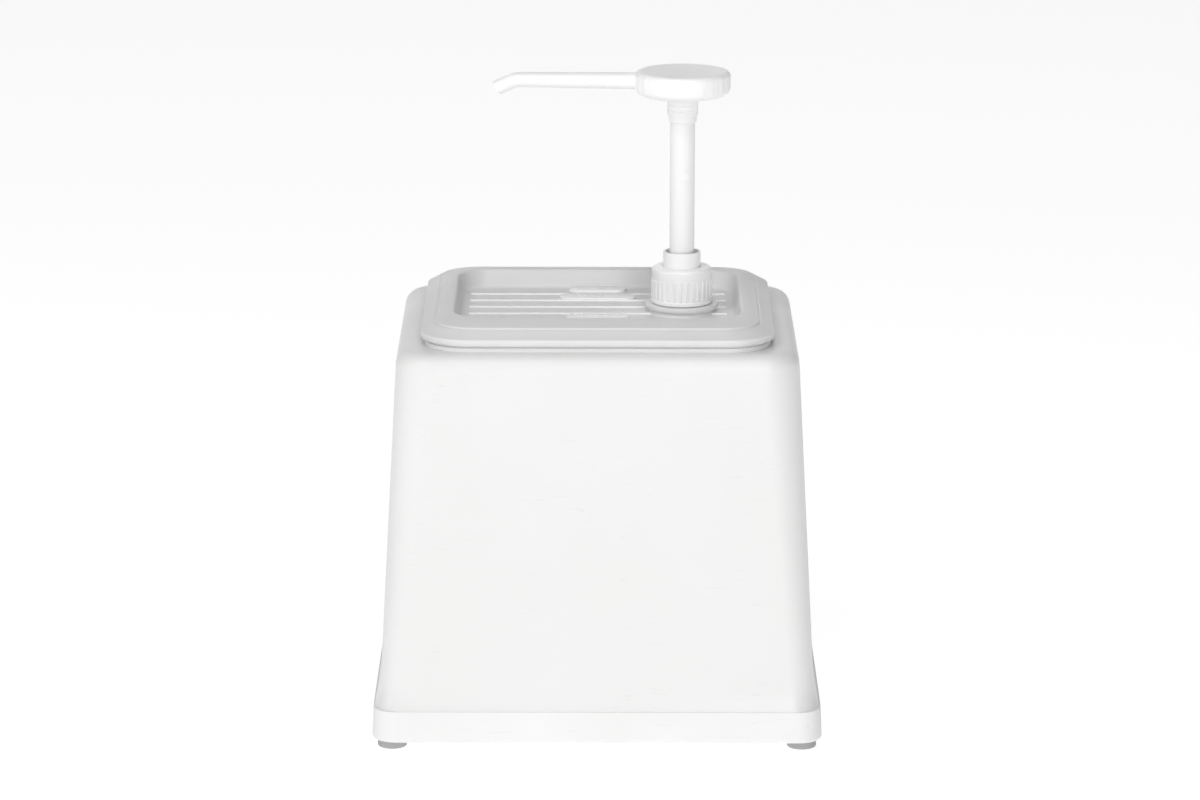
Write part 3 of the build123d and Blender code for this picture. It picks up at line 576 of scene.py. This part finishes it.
# ---- Head ----
def make_head():
    """The round press button, dished on top, in one with its long spout and the passage through it."""
    r = (head_hi.y - head_lo.y) / 2
    low_round = 4.6 * MM
    top_round = 2.6 * MM
    rim = r - 3.2 * MM
    dish = 2.2 * MM
    top = head_hi.z
    low = head_lo.z
    bore = stem_r
    bore_z = stem_hi.z
    passage_r = 3.0 * MM
    outline = [(0.0, bore_z), (bore, bore_z), (bore, low), (r - low_round, low)]
    outline += arc(r - low_round, low + low_round, low_round, -80, 0, 8)
    outline += arc(r - top_round, top - top_round, top_round, 0, 90, 8)
    for i in range(10):
        away = rim * (1 - i / 10)
        outline.append((away, top - dish * (1 - (away / rim) ** 2) * (1 if i else 0)))
    outline.append((0.0, top - dish))
    head = turned("press_head", outline, closed=False)
    combine(head, make_spout(4.5 * MM, 3.9 * MM, -r / 2, 9.0 * MM), "UNION")
    combine(head, make_spout(2.3 * MM, 2.3 * MM, 0.0, 16.0 * MM), "DIFFERENCE")
    passage_outline = [(passage_r, bore_z - 1 * MM), (passage_r, top - 5.4 * MM)]
    passage = turned("passage", passage_outline, closed=False, steps=48)
    combine(head, passage, "DIFFERENCE")
    tip_angle = radians(50)
    plane_co = (head_lo.x + 1.2 * MM, 0, top - 8.2 * MM)
    only(head)
    bpy.ops.object.mode_set(mode="EDIT")
    bpy.ops.mesh.select_all(action="SELECT")
    bpy.ops.mesh.bisect(
        plane_co=plane_co, plane_no=(-cos(tip_angle), 0, -sin(tip_angle)), use_fill=True, clear_outer=True
    )
    bpy.ops.object.mode_set(mode="OBJECT")
    apply_modifier(head, "REMESH", mode="VOXEL", voxel_size=0.4 * MM, use_smooth_shade=True)
    apply_modifier(head, "SMOOTH", factor=0.5, iterations=5)
    only(head)
    bpy.ops.object.shade_smooth()
    return head


def make_spout(root_r, tip_r, root_x, tip_long):
    """The long tapered arm along -X with its short bend and turned-down tip."""
    top_z = head_hi.z - 0.9 * MM
    axis_z = top_z - 4.5 * MM
    end_z = top_z - 3.9 * MM
    bend_r = 12.0 * MM
    bend = radians(24)
    end_x = pump_x - 86.0 * MM + bend_r * tan(bend / 2)
    piece = start_piece("spout")
    start = Vector((pump_x + root_x, 0, axis_z))
    bpy.ops.mesh.primitive_circle_add(
        vertices=64, radius=root_r, location=start, rotation=(0, pi / 2, 0), fill_type="NGON"
    )
    bpy.ops.mesh.extrude_region_move(TRANSFORM_OT_translate={"value": (end_x - start.x, 0, end_z - axis_z)})
    grow = tip_r / root_r
    bpy.ops.transform.resize(value=(1, grow, grow), center_override=(end_x, 0, end_z))
    middle = Vector((end_x, 0, end_z - bend_r))
    steps = 8
    for i in range(steps):
        bpy.ops.mesh.extrude_region_move(TRANSFORM_OT_translate={"value": (0, 0, 0)})
        bpy.ops.transform.rotate(value=bend / steps, orient_axis="Y", center_override=middle)
    move = (-cos(bend) * tip_long, 0, -sin(bend) * tip_long)
    bpy.ops.mesh.extrude_region_move(TRANSFORM_OT_translate={"value": move})
    return close_piece(piece)


# ---- Put the pieces together ----
# How each piece is made, the body it rides on, the CAD node it stands for and its finish.
makers = (
    (make_housing, "housing", "housing_shell", "housing_plastic"),
    (make_container, "container", "food_container", "container_plastic"),
    (make_lid, "lid", "lid", "lid_plastic"),
    (make_spud, "lid", "spud", "spud_plastic"),
    (make_cap, "cap", "pump_cap", "pump_plastic"),
    (make_collar, "pump", "neck_collar", "pump_plastic"),
    (make_stem, "head", "stem", "stem_plastic"),
    (make_sleeve, "head", "head_sleeve", "pump_plastic"),
    (make_head, "head", "pump_head", "pump_plastic"),
)
shown = []
for build, body, node, slot in makers:
    piece = build()
    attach(piece, body)
    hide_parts(node)
    shown.append((piece, node, slot))


# ---- Node tools ----
def add(tree, kind, links=None, **settings):
    """Adds a node, sets its properties and its named or numbered inputs, and links the sockets given."""
    node = tree.nodes.new(kind)
    for key, value in settings.items():
        setattr(node, key, value)
    for key, value in (links or {}).items():
        if isinstance(value, bpy.types.NodeSocket):
            tree.links.new(value, node.inputs[key])
        else:
            node.inputs[key].default_value = value
    return node


def maths(tree, operation, *values, clamp=False):
    """The result of a sum on these numbers or sockets."""
    node = add(tree, "ShaderNodeMath", dict(enumerate(values)), operation=operation, use_clamp=clamp)
    return node.outputs[0]


def spread(tree, value, low=0.0, high=1.0, to_low=0.0, to_high=1.0):
    """A value's range stretched to a new one, and held at its ends."""
    ends = {"Value": value, "From Min": low, "From Max": high, "To Min": to_low, "To Max": to_high}
    return add(tree, "ShaderNodeMapRange", ends).outputs[0]


def noise(tree, place, scale, detail, roughness=0.5):
    """Soft cloudy noise, 0 to 1."""
    inputs = {"Vector": place, "Scale": scale, "Detail": detail, "Roughness": roughness}
    return add(tree, "ShaderNodeTexNoise", inputs).outputs["Fac"]


def mix(tree, share, one, two):
    """A colour mix by a mask."""
    return add(tree, "ShaderNodeMix", {0: share, 6: one, 7: two}, data_type="RGBA").outputs[2]


def place_of(tree):
    """The piece's own coordinates."""
    return add(tree, "ShaderNodeTexCoord").outputs["Object"]


# ---- Surface effects shared by the materials ----
def new_group(name, inputs, outputs):
    """An empty node group with sockets (name, kind, starting value) and its two end nodes."""
    group = bpy.data.node_groups.new(name, "ShaderNodeTree")
    for label, kind, value in inputs:
        socket = group.interface.new_socket(label, in_out="INPUT", socket_type=kind)
        socket.default_value = value
    for label, kind in outputs:
        group.interface.new_socket(label, in_out="OUTPUT", socket_type=kind)
    return group, group.nodes.new("NodeGroupInput"), group.nodes.new("NodeGroupOutput")


def make_grain():
    """Fine moulded texture: a close grain over a slow waviness."""
    group, given, result = new_group(
        "Moulded grain",
        [("Grain size", "NodeSocketFloat", 2200.0), ("Grain share", "NodeSocketFloat", 0.5)],
        [("Height", "NodeSocketFloat")],
    )
    size, share = given.outputs[0], given.outputs[1]
    place = place_of(group)
    grain = noise(group, place, size, 3.0)
    cells = add(group, "ShaderNodeTexVoronoi", {"Vector": place, "Scale": size}).outputs["Distance"]
    wave = noise(group, place, 55.0, 2.0)
    fine = maths(group, "MULTIPLY", maths(group, "ADD", grain, cells), share)
    group.links.new(maths(group, "ADD", fine, wave), result.inputs["Height"])
    return group


def make_marks():
    """Faint wiping scratches, running mostly one way, where a slow patchiness lets them show."""
    group, given, result = new_group(
        "Wiping marks",
        [("Stretch", "NodeSocketVector", (60.0, 900.0, 900.0)), ("Amount", "NodeSocketFloat", 0.5)],
        [("Mask", "NodeSocketFloat")],
    )
    stretch, amount = given.outputs[0], given.outputs[1]
    place = place_of(group)
    sway = (0.02, 0.02, 0.02)
    bent = add(group, "ShaderNodeTexNoise", {"Vector": place, "Scale": 12.0, "Detail": 2.0}).outputs["Color"]
    shift = add(group, "ShaderNodeVectorMath", {0: bent, 1: sway}, operation="MULTIPLY").outputs[0]
    moved = add(group, "ShaderNodeVectorMath", {0: place, 1: shift}, operation="ADD").outputs[0]
    long = add(group, "ShaderNodeVectorMath", {0: moved, 1: stretch}, operation="MULTIPLY").outputs[0]
    sharp = spread(group, noise(group, long, 1.0, 4.0), 0.62, 0.7)
    patch = spread(group, noise(group, place, 30.0, 3.0), 0.45, 0.62)
    mask = maths(group, "MULTIPLY", maths(group, "MULTIPLY", sharp, patch), amount)
    group.links.new(mask, result.inputs["Mask"])
    return group


def make_drift():
    """Slow unevenness of the plastic, 0 to 1, for the colour and the gloss."""
    group, given, result = new_group(
        "Slow drift", [("Size", "NodeSocketFloat", 18.0)], [("Drift", "NodeSocketFloat")]
    )
    drift = noise(group, place_of(group), given.outputs[0], 4.0)
    group.links.new(spread(group, drift, 0.3, 0.7), result.inputs["Drift"])
    return group


def make_dust():
    """Thin dust that lies on faces looking up and gathers in specks."""
    group, given, result = new_group(
        "Settled dust", [("Amount", "NodeSocketFloat", 0.3)], [("Mask", "NodeSocketFloat")]
    )
    faces = add(group, "ShaderNodeNewGeometry").outputs["Normal"]
    up = spread(group, add(group, "ShaderNodeSeparateXYZ", {0: faces}).outputs["Z"], 0.55, 1.0)
    place = place_of(group)
    thin = spread(group, noise(group, place, 130.0, 6.0, 0.7), 0.42, 0.8)
    specks = add(group, "ShaderNodeTexVoronoi", {"Vector": place, "Scale": 420.0}).outputs["Distance"]
    dot = spread(group, specks, 0.12, 0.06)
    lying = maths(group, "MULTIPLY", maths(group, "MAXIMUM", thin, dot), up)
    group.links.new(maths(group, "MULTIPLY", lying, given.outputs[0]), result.inputs["Mask"])
    return group


grain_group = make_grain()
marks_group = make_marks()
drift_group = make_drift()
dust_group = make_dust()


# ---- Materials ----
ACROSS_X = (60.0, 900.0, 900.0)
ACROSS_Y = (900.0, 60.0, 900.0)
UP_THE_SIDE = (500.0, 500.0, 90.0)
UP_THE_TUBE = (1400.0, 1400.0, 30.0)
UP_THE_WIRE = (2500.0, 2500.0, 120.0)
DUST_COLOUR = (0.62, 0.6, 0.57, 1.0)


def grey(value, warm=0.0):
    """A grey, or a slightly warm one."""
    return (value * (1 + warm), value, value * (1 - warm), 1.0)


def new_material(name):
    """A new material with its node tree and its main shader."""
    material = bpy.data.materials.new(name)
    material.use_nodes = True
    return material, material.node_tree, material.node_tree.nodes["Principled BSDF"]


def plastic(name, colour, second, rough, rough_drift, grain, bump, marks, dust, stretch=ACROSS_X,
            glow=0.0, depth=(0.003, 0.003, 0.003), through=0.0):
    """A moulded plastic or rubber: two near colours, gloss that drifts, grain, wiping marks and dust.
    Glow is how much light spreads under its skin, over depth, and through is how much passes straight on."""
    material, tree, skin = new_material(name)
    drift = add(tree, "ShaderNodeGroup", node_tree=drift_group).outputs[0]
    height = add(tree, "ShaderNodeGroup", {"Grain size": grain}, node_tree=grain_group).outputs[0]
    wiped = {"Amount": marks, "Stretch": stretch}
    scratch = add(tree, "ShaderNodeGroup", wiped, node_tree=marks_group).outputs[0]
    dusted = add(tree, "ShaderNodeGroup", {"Amount": dust}, node_tree=dust_group).outputs[0]
    worn = mix(tree, scratch, mix(tree, drift, colour, second), grey(second[1] * 0.86))
    tree.links.new(mix(tree, dusted, worn, DUST_COLOUR), skin.inputs["Base Color"])
    gloss = spread(tree, drift, to_low=rough, to_high=rough + rough_drift)
    scuffed = maths(tree, "MULTIPLY_ADD", scratch, 0.25, gloss)
    dull = maths(tree, "MULTIPLY_ADD", dusted, 0.4, scuffed, clamp=True)
    tree.links.new(dull, skin.inputs["Roughness"])
    cut = maths(tree, "MULTIPLY_ADD", scratch, -0.5, height)
    relief = add(tree, "ShaderNodeBump", {"Strength": bump, "Distance": 0.0003, "Height": cut})
    tree.links.new(relief.outputs["Normal"], skin.inputs["Normal"])
    skin.inputs["Subsurface Weight"].default_value = glow
    skin.inputs["Subsurface Radius"].default_value = depth
    skin.inputs["Transmission Weight"].default_value = through
    return material


def steel():
    """Stainless steel with a fine drawn finish."""
    material, tree, skin = new_material("Stainless steel")
    drift = add(tree, "ShaderNodeGroup", node_tree=drift_group).outputs[0]
    drawn = {"Amount": 0.8, "Stretch": UP_THE_WIRE}
    marks = add(tree, "ShaderNodeGroup", drawn, node_tree=marks_group).outputs[0]
    tone = mix(tree, drift, grey(0.62), grey(0.56, 0.01))
    tree.links.new(mix(tree, marks, tone, grey(0.48)), skin.inputs["Base Color"])
    skin.inputs["Metallic"].default_value = 1.0
    tree.links.new(spread(tree, drift, to_low=0.22, to_high=0.34), skin.inputs["Roughness"])
    relief = add(tree, "ShaderNodeBump", {"Strength": 0.15, "Distance": 0.0001, "Height": marks})
    tree.links.new(relief.outputs["Normal"], skin.inputs["Normal"])
    return material


looks = {
    "housing_plastic": plastic(
        "Housing plastic", grey(0.8), grey(0.785, 0.004), rough=0.3, rough_drift=0.1,
        grain=2600.0, bump=0.08, marks=0.35, dust=0.1, glow=0.06,
    ),
    "container_plastic": plastic(
        "Container plastic", grey(0.86), grey(0.84), rough=0.3, rough_drift=0.08,
        grain=2400.0, bump=0.06, marks=0.3, dust=0.06,
    ),
    "lid_plastic": plastic(
        "Lid plastic", grey(0.8), grey(0.77), rough=0.34, rough_drift=0.12,
        grain=1800.0, bump=0.12, marks=0.4, dust=0.12, stretch=ACROSS_Y,
        glow=0.25, depth=(0.004, 0.004, 0.0044), through=0.06,
    ),
    "pump_plastic": plastic(
        "Pump plastic", grey(0.93), grey(0.91), rough=0.28, rough_drift=0.1,
        grain=3000.0, bump=0.05, marks=0.25, dust=0.05, stretch=UP_THE_SIDE, glow=0.1,
    ),
    "spud_plastic": plastic(
        "Boss plastic", grey(0.84), grey(0.8), rough=0.35, rough_drift=0.1,
        grain=2200.0, bump=0.06, marks=0.25, dust=0.1,
        glow=0.3, depth=(0.004, 0.004, 0.0042), through=0.1,
    ),
    "stem_plastic": plastic(
        "Stem plastic", grey(0.9), grey(0.88), rough=0.22, rough_drift=0.08,
        grain=3200.0, bump=0.03, marks=0.6, dust=0.0, stretch=UP_THE_TUBE,
    ),
    "tube_plastic": plastic(
        "Tube plastic", grey(0.74), grey(0.7), rough=0.3, rough_drift=0.1,
        grain=1500.0, bump=0.05, marks=0.2, dust=0.0, stretch=UP_THE_TUBE, through=0.2,
    ),
    "foot_rubber": plastic(
        "Foot rubber", grey(0.4), grey(0.36), rough=0.62, rough_drift=0.15,
        grain=1500.0, bump=0.3, marks=0.3, dust=0.2,
    ),
    "seal_rubber": plastic(
        "Seal rubber", grey(0.78), grey(0.74), rough=0.5, rough_drift=0.15,
        grain=1700.0, bump=0.15, marks=0.15, dust=0.1,
    ),
    "steel": steel(),
}
base_look = plastic(
    "Base plastic", grey(0.83), grey(0.8, 0.004), rough=0.4, rough_drift=0.1,
    grain=2600.0, bump=0.1, marks=0.5, dust=0.15,
)
# Ribs and plaques: a lighter, glossier copy of the lid plastic. The lighter colour is a painted highlight
# for the light the ribs catch.
rib_painted_highlight_look = plastic(
    "Lid ribs painted highlight", grey(0.92), grey(0.88), rough=0.2, rough_drift=0.1,
    grain=1800.0, bump=0.05, marks=0.2, dust=0.05, stretch=ACROSS_Y, glow=0.4,
)

for piece, node, slot in shown:
    mesh = piece.data
    # Faces in the second slot take the lighter rib copy, a painted highlight.
    painted_highlight_faces = [face.index for face in mesh.polygons if face.material_index]
    mesh.materials.clear()
    mesh.materials.append(looks[slot])
    if painted_highlight_faces:
        mesh.materials.append(rib_painted_highlight_look)
        for index in painted_highlight_faces:
            mesh.polygons[index].material_index = 1
replaced = {node for piece, node, slot in shown}
for subpart in frame["record"]["subparts"]:
    node = subpart["node"]
    if node in replaced:
        continue
    look = base_look if node == "base_tray" else looks[subpart["material_slot"]]
    for slot in frame["nodes"][node].material_slots:
        slot.link = "OBJECT"
        slot.material = look


# ---- Floor ----
bpy.ops.mesh.primitive_plane_add(size=30, location=(0, 0, 0))
floor = bpy.context.object
floor.name = "floor"
floor_look, _, floor_skin = new_material("Pale floor")
floor_skin.inputs["Base Color"].default_value = (0.5, 0.5, 0.5, 1.0)
floor_skin.inputs["Emission Color"].default_value = (1.0, 1.0, 1.0, 1.0)
floor_skin.inputs["Emission Strength"].default_value = 0.66
floor_skin.inputs["Roughness"].default_value = 0.9
floor_skin.inputs["Specular IOR Level"].default_value = 0.1
floor.data.materials.append(floor_look)


# ---- Light: a soft room, brighter in front and low down, and four lamps ----
scene = bpy.context.scene
world = bpy.data.worlds.new("Soft studio")
scene.world = world
world.use_nodes = True
sky = world.node_tree
around = add(sky, "ShaderNodeTexCoord").outputs["Generated"]
axes = add(sky, "ShaderNodeSeparateXYZ", {0: around})
walls = spread(sky, maths(sky, "ABSOLUTE", axes.outputs["X"]), 0.15, 0.8, 0.92, 0.12)
ceiling = spread(sky, axes.outputs["Z"], 0.0, 1.0, 1.05, 0.3)
room = maths(sky, "MULTIPLY_ADD", axes.outputs["X"], -0.1, maths(sky, "MULTIPLY", walls, ceiling))
backdrop = sky.nodes["Background"]
backdrop.inputs["Color"].default_value = (1.0, 1.0, 1.0, 1.0)
sky.links.new(room, backdrop.inputs["Strength"])


def soft_light(name, place, target_z, size, power):
    """A round soft lamp that looks at a height on the object's upright middle line."""
    data = bpy.data.lights.new(name, "AREA")
    data.shape = "DISK"
    data.size = size
    data.energy = power
    lamp = bpy.data.objects.new(name, data)
    scene.collection.objects.link(lamp)
    lamp.location = place
    lamp.rotation_euler = (Vector((0, 0, target_z)) - Vector(place)).to_track_quat("-Z", "Y").to_euler()


soft_light("key", (-1.3, -1.4, 2.0), target_z=0.15, size=1.2, power=11.0)
soft_light("left strip", (-2.0, -0.7, 0.7), target_z=0.15, size=0.5, power=3.0)
soft_light("right strip", (0.6, -2.4, 0.9), target_z=0.15, size=0.8, power=9.0)
soft_light("top", (0.15, -1.2, 2.0), target_z=0.2, size=1.4, power=10.0)


# ---- Camera ----
camera_place = (-0.00094, -2.65798, 0.7896)
yaw_deg = -0.047
pitch_deg = 13.332
roll_deg = 0.123
camera_data = bpy.data.cameras.new("camera")
camera = bpy.data.objects.new("camera", camera_data)
scene.collection.objects.link(camera)
scene.camera = camera
camera_data.lens = 157.04
camera_data.sensor_width = 36.0
camera_data.clip_end = 50.0
camera.location = camera_place
turn = Matrix.Rotation(radians(yaw_deg), 3, "Z")
tilt = Matrix.Rotation(radians(90 - pitch_deg), 3, "X")
roll = Matrix.Rotation(radians(roll_deg), 3, "Z")
camera.rotation_euler = (turn @ tilt @ roll).to_euler()
scene.view_settings.view_transform = "Standard"
scene.view_settings.exposure = 0.16
